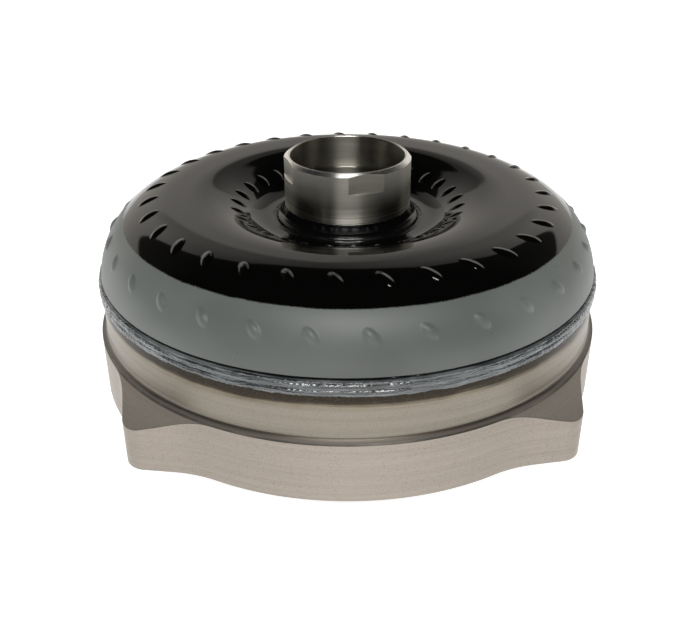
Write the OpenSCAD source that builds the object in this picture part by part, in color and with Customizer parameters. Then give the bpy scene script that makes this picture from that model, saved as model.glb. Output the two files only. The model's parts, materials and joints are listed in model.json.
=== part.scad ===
// Torque converter with a four-lobed billet front cover.
// Millimetres. Z runs along the shaft axis, up towards the pump drive hub.
// Z = 0 is the face of the cover that the flexplate bolts to.

/* [Front cover] */
// Radius of the round flange between the bolt lobes
flange_r = 128.1; // [126.5:0.1:129.5]
// Radius of the machined band above the flange
band_r = 125.3; // [125:0.1:125.6]
// Distance from the axis to the tip of a bolt lobe
lobe_tip_r = 142.4; // [141:0.1:144]
// Radius that rounds the tip of a bolt lobe
lobe_round = 10.5; // [9:0.5:12]
// Half angle of a lobe's normals: larger makes a more pointed lobe
lobe_slope = 36.5; // [34:0.5:39]
// Radius that blends a lobe into the round flange
lobe_blend = 60; // [50:1:70]
// Diameter of the circle of flexplate bolts
bolt_circle = 266.7; // [264:0.1:268]
// Diameter of a flexplate bolt
bolt_d = 10; // [8:0.5:11]
// Diameter of the pilot that centres in the crankshaft
pilot_d = 43.2; // [38:0.1:48]
// Length of the pilot below the flexplate face
pilot_length = 12; // [8:0.5:16]

/* [Impeller] */
// Height of the top of the impeller shell
crown_z = 93; // [92.5:0.1:93.5]
// Radius of the outer corner of the impeller shell's section
crown_round = 36.7; // [36.4:0.1:37]
// Thickness of the impeller shell
shell_wall = 3.2; // [2.8:0.1:3.4]
// Number of impeller blades, and of dimples in each row
impeller_blade_count = 31; // [23:2:35]
// Height of a dimple above the shell
dimple_height = 1.2; // [0.8:0.1:1.6]

/* [Pump drive hub] */
// Outer diameter of the hub
hub_d = 63; // [62:0.5:64]
// Height of the hub's end above the flexplate face
hub_z = 112.1; // [110:0.1:118]
// Diameter of the hub's through bore
hub_bore_d = 48.8; // [47:0.2:50]
// Diameter of the counterbore at the hub's mouth
hub_mouth_d = 57; // [54:0.5:58]
// Distance between two opposite drive flats
hub_flats = 60.5; // [60:0.1:61.5]
// Height of a drive flat
flat_height = 9.9; // [8:0.1:12]

/* [Turbine] */
// Number of turbine blades
turbine_blade_count = 29; // [21:2:33]
// Number of teeth in the turbine hub's spline
turbine_teeth = 26; // [20:2:30]
// Number of rivets through the turbine hub's flange
turbine_rivet_count = 8; // [6:2:12]

/* [Stator] */
// Number of stator blades
stator_blade_count = 17; // [13:2:19]
// Number of rollers in the one-way clutch
clutch_roller_count = 10; // [8:1:10]
// Number of teeth in the inner race's spline
stator_teeth = 34; // [28:2:38]

/* [Lock-up clutch] */
// Number of damper springs
damper_spring_count = 6; // [4:1:6]
// Height of the clearance that the piston moves through
piston_travel = 1.5; // [1:0.1:1.5]
// Number of needles in each thrust bearing
needle_count = 20; // [16:2:24]

/* [Hidden] */

$fn = 96;
lobe_count = 4;
first_lobe = 45;

// Heights in the cover, from the flexplate face up
floor_z = 14;
boss_z = 16;
joint_z = 54.5;
flange_top_z = 31.4;
cover_bore_r = 119.5;
bolt_depth = 16;
pad_recess_depth = 3;
pad_recess_in = 34;
pad_recess_out = 112;
spigot_r = 15;
spigot_depth = 8;
weld_ridge_r = 2.9;
// Added to a cut so that it runs past the surface it starts from
past = 1;

// Section of the impeller shell: an outer arc, a flat crown and a dished inner arc
crown_r = flange_r - 3.1 - crown_round;
crown_cz = crown_z - crown_round;
dish_r = 80;
dish_round = 49;
dish_cz = crown_z - dish_round;
dish_end = 129.25;
shell_edge_z = 60.4;
shell_spigot_r = 123.4;
shell_bore_r = shell_spigot_r - shell_wall;
recess_z = 80.2;
recess_r = 38.1;
hub_foot_r = 35.2;
hub_fillet = 5;
hub_fillet_z = 86.5;
hub_chamfer = 2;
hub_chamfer_height = 1.5;
mouth_depth = 15.1;
flat_turn = 15.1;
// Gap that keeps two faces joined by a weld from overlapping
weld_gap = 0.03;

// Rows of dimples where the blade tabs press into the shell: radius, turn and height
inner_row = [55.2, 0.9];
middle_row = [99.1, 7.0];
outer_row = [119.1, 14.3];

// Heights along the axis of the thrust bearings and the stator
cover_bearing_z = boss_z;
turbine_bearing_z = 39.5;
pump_bearing_z = 71;
bearing_height = 4.5;
bearing_race = 1;
bearing_in = 25;
bearing_out = 36.5;
needle_r = 1.24;
needle_length = 8;
needle_in = 26.8;
cage_side = 0.3;
cage_height = 1.5;
slot_side = 0.2;
stator_low = 44;
stator_high = pump_bearing_z;
cap_height = 2;

rivet_circle_r = 53;
rivet_r = 2.5;
rivet_head = 1.5;
// Radial play of a rivet in its hole
rivet_play = 0.05;

turbine_hub_low = cover_bearing_z + bearing_height;
turbine_hub_r = 37;
seal_groove = [21.8, 23.4];
turbine_split_z = 54.5;
impeller_split_z = 57.5;
passage_in_r = 76.5;
core_r = 88.3;

driven_z = 26;
driven_height = 2.5;
damper_pitch_r = 88;
spring_z = driven_z + driven_height / 2;
spring_coil_r = 4.3;
spring_wire_r = 1.15;
spring_length = 44;
window_length = spring_length + 0.4;
window_width = 12.4;
damper_in = 66;
damper_out = 110;
damper_plate = 2;
damper_low_z = 22;
damper_high_z = 30.5;
lug_width = 9.6;
lug_reach = 7;
lug_play = 0.4;
spacer_circle_r = 105;
spacer_pin_r = 1.5;
spacer_body_r = 3;

piston_z = 15.5;
piston_wall = 4;
piston_play = 0.06;
piston_boss_r = 42;
piston_boss_top = 23.5;
piston_rim_in = 112.5;
piston_rim_out = 115.5;
piston_rim_top = 25.3;

// Points along an arc, from angle a0 to a1
function arc(cx, cy, r, a0, a1, n = 10) =
    [for (i = [0 : n]) let (a = a0 + (a1 - a0) * i / n) [cx + r * cos(a), cy + r * sin(a)]];
function turned(points, a) =
    [for (p = points) [p[0] * cos(a) - p[1] * sin(a), p[0] * sin(a) + p[1] * cos(a)]];
// Turns an angle measured from the front, -Y, into one measured from +X
function from_front(a) = a - 90;

module turn(points) rotate_extrude() polygon(points);
module ring(r_in, r_out, z, h) translate([0, 0, z]) difference() {
    cylinder(r = r_out, h = h);
    translate([0, 0, -1]) cylinder(r = r_in, h = h + 2);
}
module around(count, first = 0) for (i = [0 : count - 1]) rotate(first + i * 360 / count) children();

// ---------------------------------------------------------------- front cover

lobe_centre = lobe_tip_r - lobe_round;
lobe_line = lobe_centre * cos(lobe_slope) + lobe_round;
blend_at = flange_r + lobe_blend;
blend_angle = lobe_slope - acos((lobe_line + lobe_blend) / blend_at);

// One quarter of the cover's outline: a lobe along +X, and the round flange after it
function lobe_outline() = concat(
    arc(blend_at * cos(blend_angle), -blend_at * sin(blend_angle), lobe_blend,
        180 - blend_angle, 180 - lobe_slope, 7),
    arc(lobe_centre, 0, lobe_round, -lobe_slope, lobe_slope, 8),
    arc(blend_at * cos(blend_angle), blend_at * sin(blend_angle), lobe_blend,
        180 + lobe_slope, 180 + blend_angle, 7),
    [for (i = [1 : 19]) let (a = blend_angle + (90 - 2 * blend_angle) * i / 20)
        [flange_r * cos(a), flange_r * sin(a)]]);

// Outline of the billet, with its four lobes
module cover_outline() polygon([for (i = [0 : lobe_count - 1])
    each turned(lobe_outline(), first_lobe + i * 360 / lobe_count)]);

module front_cover() color([0.72, 0.70, 0.67]) difference() {
    intersection() {
        linear_extrude(joint_z) cover_outline();
        turn([[0, 0], [lobe_tip_r + 2, 0], [lobe_tip_r + 2, 20.6], [134.5, 24.6],
              [129.9, 27.4], [126.4, 30.2], [band_r, flange_top_z], [band_r, joint_z],
              [0, joint_z]]);
    }
    turn([[0, boss_z], [turbine_hub_r - 0.5, boss_z], [turbine_hub_r - 0.5, floor_z],
          [cover_bore_r - 4, floor_z], [cover_bore_r, floor_z + 4],
          [cover_bore_r, joint_z + past], [0, joint_z + past]]);
    ring(pad_recess_in, pad_recess_out, -past, pad_recess_depth + past);
    translate([0, 0, -past]) cylinder(r = spigot_r, h = spigot_depth + past);
    around(lobe_count, first_lobe) translate([bolt_circle / 2, 0, -past])
        cylinder(d = bolt_d, h = bolt_depth + past);
}

module crank_pilot() color([0.66, 0.65, 0.63])
    turn([[0, -pilot_length], [pilot_d / 2 - 2, -pilot_length], [pilot_d / 2, 2 - pilot_length],
          [pilot_d / 2, 0], [spigot_r, 0], [spigot_r, spigot_depth - 1],
          [spigot_r - 1, spigot_depth], [0, spigot_depth]]);

// Bead that joins the cover to the impeller shell
module closure_weld() color([0.36, 0.39, 0.39])
    turn(concat([[shell_spigot_r, joint_z], [shell_spigot_r, 59.3]],
                arc(band_r - 1.4, 56.6, weld_ridge_r, 70, 20, 4),
                arc(band_r - 1.7, 53.4, weld_ridge_r, 35, -25, 4),
                [[band_r, 50.6], [band_r, joint_z]]));

// ------------------------------------------------------------------- impeller

function shell_section() = concat(
    [[shell_bore_r, joint_z], [shell_spigot_r, joint_z], [shell_spigot_r, shell_edge_z - 0.4]],
    arc(crown_r, crown_cz, crown_round, asin((shell_edge_z - crown_cz) / crown_round), 90, 16),
    arc(dish_r, dish_cz, dish_round, 90, dish_end, 12),
    [[47, 81.3], [43.5, recess_z + 0.3], [40.5, recess_z], [recess_r, recess_z],
     [recess_r, recess_z - shell_wall], [43.5, recess_z + 0.3 - shell_wall], [48, 78.3]],
    arc(dish_r, dish_cz, dish_round - shell_wall, dish_end - 0.5, 90, 12),
    arc(crown_r, crown_cz, crown_round - shell_wall, 90,
        acos((shell_bore_r - crown_r) / (crown_round - shell_wall)), 14));

// Point on the shell's section at a radius, and the direction that it faces
function arc_z(r) = r > crown_r ? crown_cz + sqrt(crown_round ^ 2 - (r - crown_r) ^ 2)
                                : dish_cz + sqrt(dish_round ^ 2 - (r - dish_r) ^ 2);
function faces(r) = r > crown_r ? acos((r - crown_r) / crown_round) : acos((r - dish_r) / dish_round);

// A dimple is the cap of a sphere that stands out of the shell
module dimple(row, sphere_r) {
    depth = sphere_r - dimple_height;
    rotate(from_front(row[1]))
        translate([row[0] - depth * cos(faces(row[0])), 0, arc_z(row[0]) - depth * sin(faces(row[0]))])
            sphere(r = sphere_r);
}

module impeller_shell() color([0.05, 0.05, 0.05]) difference() {
    union() {
        turn(shell_section());
        around(impeller_blade_count) {
            dimple(inner_row, 4);
            dimple(middle_row, 4.4);
            dimple(outer_row, 4.4);
        }
    }
    turn(concat([[45, 60], [48, 78.3]],
                arc(dish_r, dish_cz, dish_round - shell_wall, dish_end - 0.5, 90, 12),
                arc(crown_r, crown_cz, crown_round - shell_wall, 90,
                    acos((shell_bore_r - crown_r) / (crown_round - shell_wall)), 14),
                [[shell_bore_r, 60]]));
}

// Plan of a curved blade: its turn at each radius runs through three points
function through(r, a, b, c) =
    a[1] * (r - b[0]) * (r - c[0]) / ((a[0] - b[0]) * (a[0] - c[0]))
    + b[1] * (r - a[0]) * (r - c[0]) / ((b[0] - a[0]) * (b[0] - c[0]))
    + c[1] * (r - a[0]) * (r - b[0]) / ((c[0] - a[0]) * (c[0] - b[0]));
function blade_side(r0, r1, a, b, c, side) = [for (i = [0 : 6])
    let (r = r0 + (r1 - r0) * i / 6, t = from_front(through(r, a, b, c)))
    [r * cos(t) - side * sin(t), r * sin(t) + side * cos(t)]];
module blade_plan(r0, r1, a, b, c, wall) polygon(concat(
    blade_side(r0, r1, a, b, c, wall / 2),
    [for (i = [6 : -1 : 0]) blade_side(r0, r1, a, b, c, -wall / 2)[i]]));

blade_gap = 0.15;
impeller_core = 14.5;
turbine_core = 11.5;
turbine_core_r = 90;
core_wall = 1.2;

module impeller_blades() color([0.60, 0.60, 0.60]) intersection() {
    turn(concat([[56, 72.8], [56, 75]],
                arc(dish_r, dish_cz, dish_round - shell_wall - blade_gap, 121, 90, 8),
                arc(crown_r, crown_cz, crown_round - shell_wall - blade_gap, 90, 18, 12),
                [[shell_bore_r - blade_gap, impeller_split_z],
                 [core_r + impeller_core + blade_gap, impeller_split_z]],
                arc(core_r, impeller_split_z, impeller_core + blade_gap, 0, 141, 12),
                [[passage_in_r, 72.8]]));
    around(impeller_blade_count) linear_extrude(crown_z)
        blade_plan(55.5, 121.5, inner_row, middle_row, outer_row, 1.2);
}

module impeller_core_ring() color([0.60, 0.60, 0.60])
    turn(concat(arc(core_r, impeller_split_z, impeller_core, 0, 141, 12),
                arc(core_r, impeller_split_z, impeller_core - core_wall, 141, 0, 12)));

module impeller_hub() color([0.62, 0.61, 0.58]) difference() {
    turn(concat([[hub_bore_d / 2, pump_bearing_z + bearing_height],
                 [hub_foot_r, pump_bearing_z + bearing_height]],
                arc(hub_d / 2 + hub_fillet, hub_fillet_z, hub_fillet, 255, 180, 5),
                [[hub_d / 2, hub_z - hub_chamfer_height], [hub_d / 2 - hub_chamfer, hub_z],
                 [hub_mouth_d / 2 + 0.3, hub_z], [hub_mouth_d / 2, hub_z - 0.3],
                 [hub_mouth_d / 2, hub_z - mouth_depth],
                 [hub_bore_d / 2 + 0.5, hub_z - mouth_depth],
                 [hub_bore_d / 2, hub_z - mouth_depth - 0.5]]));
    around(4, from_front(flat_turn)) translate([hub_flats / 2, -hub_d / 2, hub_z - flat_height])
        cube([hub_d / 2, hub_d, flat_height + past]);
}

// Weld in the groove between the hub's foot and the shell
module impeller_hub_weld() color([0.05, 0.05, 0.05])
    turn([[hub_foot_r + weld_gap, recess_z - shell_wall], [recess_r - weld_gap, recess_z - shell_wall],
          [recess_r - weld_gap, recess_z - 0.2], [recess_r - 0.7, recess_z - 0.5],
          [hub_foot_r + 1, recess_z - 0.4], [hub_foot_r + weld_gap, recess_z + 0.3]]);

// ------------------------------------------------------------ thrust bearings

module bearing_lower_race(z) color([0.74, 0.74, 0.75]) ring(bearing_in, bearing_out, z, bearing_race);
module bearing_upper_race(z) color([0.74, 0.74, 0.75])
    ring(bearing_in, bearing_out, z + bearing_height - bearing_race, bearing_race);
module bearing_cage(z) color([0.55, 0.45, 0.25]) difference() {
    ring(bearing_in + cage_side, bearing_out - cage_side, z + (bearing_height - cage_height) / 2,
         cage_height);
    around(needle_count) translate([needle_in - 0.3, -needle_r - slot_side, z])
        cube([needle_length + 0.6, 2 * (needle_r + slot_side), bearing_height]);
}
module bearing_needles(z) color([0.80, 0.80, 0.82])
    around(needle_count) translate([needle_in, 0, z + bearing_height / 2])
        rotate([0, 90, 0]) cylinder(r = needle_r, h = needle_length, $fn = 24);

// -------------------------------------------------------------------- turbine

bowl_r = 97;
bowl_round = 20.5;
bowl_wall = 1.8;
hub_flange_z = driven_z + driven_height;
hub_flange_top = 32;

module rivet_holes() around(turbine_rivet_count) translate([rivet_circle_r, 0, driven_z - past])
    cylinder(r = rivet_r + rivet_play, h = hub_flange_top + bowl_wall - driven_z + 2 * past);

module turbine_shell() color([0.62, 0.60, 0.56]) difference() {
    turn(concat([[44, hub_flange_top], [62.5, hub_flange_top], [65, 34]],
                arc(bowl_r, turbine_split_z, bowl_round, 270, 360, 14),
                arc(bowl_r, turbine_split_z, bowl_round - bowl_wall, 360, 270, 14),
                [[64.4, 34 + bowl_wall], [62, hub_flange_top + bowl_wall],
                 [44, hub_flange_top + bowl_wall]]));
    rivet_holes();
}

module turbine_blades() color([0.60, 0.60, 0.60]) intersection() {
    turn(concat([[66, 36], [bowl_r, 34 + bowl_wall + blade_gap]],
                arc(bowl_r, turbine_split_z, bowl_round - bowl_wall - blade_gap, 270, 358, 10),
                [[bowl_r + bowl_round - bowl_wall - 0.4, turbine_split_z - 0.7],
                 [turbine_core_r + turbine_core + blade_gap, turbine_split_z - 0.7]],
                arc(turbine_core_r, turbine_split_z - 0.7, turbine_core + blade_gap, 0, -140, 12),
                [[passage_in_r, 43.5], [66, 43.5]]));
    around(turbine_blade_count) translate([0, 0, 30]) linear_extrude(30)
        blade_plan(65, 118, [65, 0], [92, -9], [117, -5], 1.0);
}

module turbine_core_ring() color([0.60, 0.60, 0.60])
    turn(concat(arc(turbine_core_r, turbine_split_z - 0.7, turbine_core, 0, -150, 12),
                arc(turbine_core_r, turbine_split_z - 0.7, turbine_core - core_wall, -150, 0, 12)));

// A bore with internal spline teeth: r is the tip circle of the teeth
module spline_cut(r, teeth, low, high, depth, width) {
    translate([0, 0, low]) cylinder(r = r, h = high - low);
    around(teeth) translate([0, -width / 2, low]) cube([r + depth, width, high - low]);
}

module turbine_hub() color([0.66, 0.66, 0.66]) difference() {
    turn([[10, turbine_hub_low], [turbine_hub_r, turbine_hub_low], [turbine_hub_r, seal_groove[0]],
          [turbine_hub_r - 2, seal_groove[0]], [turbine_hub_r - 2, seal_groove[1]],
          [turbine_hub_r, seal_groove[1]],
          [turbine_hub_r, hub_flange_z], [61.5, hub_flange_z], [61.5, hub_flange_top],
          [43, hub_flange_top], [turbine_hub_r, 34], [turbine_hub_r, turbine_bearing_z],
          [10, turbine_bearing_z]]);
    spline_cut(13.8, turbine_teeth, 10, 50, 1.3, 1.7);
    rivet_holes();
}

module turbine_rivets() color([0.70, 0.70, 0.70])
    around(turbine_rivet_count) translate([rivet_circle_r, 0, 0]) {
        translate([0, 0, driven_z - rivet_head]) cylinder(r1 = 3.4, r2 = 4.2, h = rivet_head);
        translate([0, 0, driven_z]) cylinder(r = rivet_r, h = hub_flange_top + bowl_wall - driven_z);
        translate([0, 0, hub_flange_top + bowl_wall]) cylinder(r1 = 4.2, r2 = 3.2, h = rivet_head);
    }

// Seal in the hub's groove that the piston slides on
module piston_seal_ring() color([0.10, 0.10, 0.10])
    ring(turbine_hub_r - 1.9, turbine_hub_r + 0.02, seal_groove[0] + 0.1,
         seal_groove[1] - seal_groove[0] - 0.2);

// ----------------------------------------------------- lock-up clutch, damper

module spring_windows(z, h) around(damper_spring_count, 360 / damper_spring_count / 2)
    translate([damper_pitch_r - window_width / 2, -window_length / 2, z])
        cube([window_width, window_length, h]);

module spacer_holes() around(damper_spring_count) translate([spacer_circle_r, 0, damper_low_z - past])
    cylinder(r = spacer_pin_r + rivet_play, h = damper_high_z - damper_low_z + damper_plate + 2 * past);

module damper_driven_plate() color([0.52, 0.52, 0.54]) difference() {
    ring(turbine_hub_r, 100, driven_z, driven_height);
    spring_windows(driven_z - past, driven_height + 2 * past);
    rivet_holes();
}

module damper_lower_plate() color([0.48, 0.48, 0.50]) difference() {
    union() {
        ring(damper_in, damper_out, damper_low_z, damper_plate);
        around(damper_spring_count) translate([damper_out - 3, -lug_width / 2, damper_low_z])
            cube([lug_reach + 3, lug_width, damper_plate]);
    }
    spring_windows(damper_low_z - past, damper_plate + 2 * past);
    spacer_holes();
}

module damper_upper_plate() color([0.48, 0.48, 0.50]) difference() {
    ring(damper_in, damper_out, damper_high_z, damper_plate);
    spring_windows(damper_high_z - past, damper_plate + 2 * past);
    spacer_holes();
}

module damper_spacer_rivets() color([0.70, 0.70, 0.70])
    around(damper_spring_count) translate([spacer_circle_r, 0, damper_low_z]) {
        cylinder(r = spacer_pin_r, h = damper_high_z + damper_plate - damper_low_z);
        translate([0, 0, damper_plate])
            cylinder(r = spacer_body_r, h = damper_high_z - damper_low_z - damper_plate);
    }

// A coil spring along Y, swept as rings of points round a helix
spring_turns = 8;
spring_steps = 10;
spring_sides = 6;
spring_rings = spring_turns * spring_steps;
function spring_point(i, j) =
    let (a = 360 * i / spring_steps, b = 360 * j / spring_sides,
         y = (i / spring_rings - 0.5) * (spring_length - 2 * spring_wire_r),
         r = spring_coil_r + spring_wire_r * cos(b))
    [r * cos(a), y + spring_wire_r * sin(b), r * sin(a)];
module coil_spring() polyhedron(
    points = [for (i = [0 : spring_rings]) for (j = [0 : spring_sides - 1]) spring_point(i, j)],
    faces = concat(
        [[for (j = [0 : spring_sides - 1]) j]],
        [for (i = [0 : spring_rings - 1]) for (j = [0 : spring_sides - 1])
            let (k = (j + 1) % spring_sides, a = i * spring_sides, b = a + spring_sides)
            each [[a + j, b + j, b + k], [a + j, b + k, a + k]]],
        [[for (j = [spring_sides - 1 : -1 : 0]) spring_rings * spring_sides + j]]));
module damper_springs() color([0.35, 0.36, 0.42])
    around(damper_spring_count, 360 / damper_spring_count / 2)
        translate([damper_pitch_r, 0, spring_z]) coil_spring();

module lockup_piston() color([0.50, 0.50, 0.51]) difference() {
    turn([[turbine_hub_r + piston_play, piston_z], [112, piston_z], [piston_rim_out, piston_z + 2],
          [piston_rim_out, piston_rim_top], [piston_rim_in, piston_rim_top],
          [piston_rim_in, piston_z + piston_wall], [piston_boss_r, piston_z + piston_wall],
          [piston_boss_r, piston_boss_top], [turbine_hub_r + piston_play, piston_boss_top]]);
    around(damper_spring_count)
        translate([piston_rim_in - 1, -lug_width / 2 - lug_play, damper_low_z - piston_travel - lug_play])
            cube([piston_rim_out - piston_rim_in + 2, lug_width + 2 * lug_play, piston_rim_top]);
}

module friction_lining() color([0.30, 0.22, 0.15]) ring(90, 111, floor_z, piston_z - floor_z);

// --------------------------------------------------------------------- stator

stator_bore_r = 47;
stator_ring_r = 54.5;
cap_bore_r = 25.5;
cap_play = 0.04;
stator_band_in = 71.8;
stator_band_out = 74.3;
blade_low = 46;
blade_high = 68.5;

// Section of a stator blade: a curved mean line with a rounded nose and thin tail
function foil_side(side) = [for (i = [0 : 8]) let (t = i / 8)
    [-6 + 14 * t * t + side * 7.5 * (sqrt(t) * (1 - t) + 0.05), blade_high - (blade_high - blade_low) * t]];
module stator_blade() translate([stator_ring_r - 1.5, 0, 0]) rotate([90, 0, 90]) linear_extrude(20)
    polygon(concat(foil_side(1), [for (i = [8 : -1 : 0]) foil_side(-1)[i]]));

module stator_wheel() color([0.74, 0.75, 0.76]) union() {
    ring(stator_bore_r, stator_ring_r, stator_low, stator_high - stator_low);
    ring(stator_band_in, stator_band_out, blade_low - 0.5, blade_high - blade_low + 1);
    around(stator_blade_count) stator_blade();
}

clutch_in_r = 34;
clutch_play = 2;
roller_r = 3.5;
roller_play = 0.06;
roller_y = -2.6;
roller_x = sqrt((clutch_in_r + roller_r + roller_play) ^ 2 - roller_y ^ 2);
pocket_out = 41.2;
pocket_width = 13;
race_z = stator_low + cap_height;
race_height = stator_high - stator_low - 2 * cap_height;

module clutch_outer_race() color([0.58, 0.58, 0.60]) difference() {
    ring(clutch_in_r + clutch_play, stator_bore_r, race_z, race_height);
    around(clutch_roller_count) translate([clutch_in_r, -pocket_width / 2, race_z - past])
        cube([pocket_out - clutch_in_r, pocket_width, race_height + 2 * past]);
}
module clutch_rollers() color([0.80, 0.80, 0.82])
    around(clutch_roller_count) translate([roller_x, roller_y, race_z + 0.5])
        cylinder(r = roller_r, h = race_height - 1, $fn = 32);

// A folded leaf that pushes a roller along its pocket
function leaf_side(shift) = [for (i = [0 : 4]) [(i % 2 == 0 ? 36.6 : 39.3) + shift, 1.5 + i * 1.1]];
module clutch_roller_springs() color([0.70, 0.68, 0.60])
    around(clutch_roller_count) translate([0, 0, 50]) linear_extrude(14)
        polygon(concat(leaf_side(0), [for (i = [4 : -1 : 0]) leaf_side(1.1)[i]]));

module stator_cap(z) color([0.55, 0.55, 0.57]) ring(cap_bore_r, stator_bore_r - cap_play, z, cap_height);
module clutch_inner_race() color([0.66, 0.66, 0.68]) difference() {
    ring(20, clutch_in_r, race_z + 0.4, race_height - 0.8);
    spline_cut(21.4, stator_teeth, race_z, race_z + race_height, 1.3, 2);
}

// ------------------------------------------------------------------- assembly

front_cover();
crank_pilot();
closure_weld();
impeller_shell();
impeller_blades();
impeller_core_ring();
impeller_hub();
impeller_hub_weld();
bearing_lower_race(cover_bearing_z);  // cover_bearing_lower_race
bearing_upper_race(pump_bearing_z);  // pump_bearing_upper_race
turbine_shell();
turbine_blades();
turbine_core_ring();
turbine_hub();
turbine_rivets();
damper_driven_plate();
piston_seal_ring();
bearing_upper_race(cover_bearing_z);  // cover_bearing_upper_race
bearing_lower_race(turbine_bearing_z);  // turbine_bearing_lower_race
damper_lower_plate();
damper_upper_plate();
damper_spacer_rivets();
damper_springs();
lockup_piston();
friction_lining();
stator_wheel();
clutch_outer_race();
clutch_rollers();
clutch_roller_springs();
stator_cap(stator_low);  // stator_front_cap
stator_cap(stator_high - cap_height);  // stator_rear_cap
bearing_upper_race(turbine_bearing_z);  // turbine_bearing_upper_race
bearing_lower_race(pump_bearing_z);  // pump_bearing_lower_race
clutch_inner_race();
bearing_cage(cover_bearing_z);  // cover_bearing_cage
bearing_needles(cover_bearing_z);  // cover_bearing_needles
bearing_cage(turbine_bearing_z);  // turbine_bearing_cage
bearing_needles(turbine_bearing_z);  // turbine_bearing_needles
bearing_cage(pump_bearing_z);  // pump_bearing_cage
bearing_needles(pump_bearing_z);  // pump_bearing_needles
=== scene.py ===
import json
import math

import bpy
import numpy as np
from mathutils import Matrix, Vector


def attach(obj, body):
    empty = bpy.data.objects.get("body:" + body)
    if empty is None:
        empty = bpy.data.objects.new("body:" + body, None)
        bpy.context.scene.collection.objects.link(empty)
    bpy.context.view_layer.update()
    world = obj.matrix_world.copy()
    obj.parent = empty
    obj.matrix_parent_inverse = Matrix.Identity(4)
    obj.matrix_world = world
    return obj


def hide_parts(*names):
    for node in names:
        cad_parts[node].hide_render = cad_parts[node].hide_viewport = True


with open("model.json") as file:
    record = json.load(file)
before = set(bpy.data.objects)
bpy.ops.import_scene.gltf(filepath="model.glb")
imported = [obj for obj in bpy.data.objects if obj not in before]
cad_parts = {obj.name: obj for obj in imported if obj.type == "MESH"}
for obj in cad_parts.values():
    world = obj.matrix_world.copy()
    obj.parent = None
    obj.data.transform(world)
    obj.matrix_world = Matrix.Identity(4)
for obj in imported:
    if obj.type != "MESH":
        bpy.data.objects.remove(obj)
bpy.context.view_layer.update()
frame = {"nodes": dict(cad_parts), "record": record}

MM = 0.001
SCENE = bpy.context.scene

# ------------------------------------------------------------------ camera

CAMERA_AT = (-0.014225, -0.42882, 0.25483)
CAMERA_LOOKS_AT = (0.0, 0.0, 0.02252)
CAMERA_LENS = 46.72

camera = bpy.data.objects.new("camera", bpy.data.cameras.new("camera"))
SCENE.collection.objects.link(camera)
camera.location = CAMERA_AT
camera.data.lens = CAMERA_LENS
camera.data.sensor_width = 36
camera.data.clip_start = 0.01
aim = Vector(CAMERA_LOOKS_AT) - camera.location
camera.rotation_euler = aim.to_track_quat("-Z", "Y").to_euler()
SCENE.camera = camera

# --------------------------------------------------------------- materials


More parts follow.
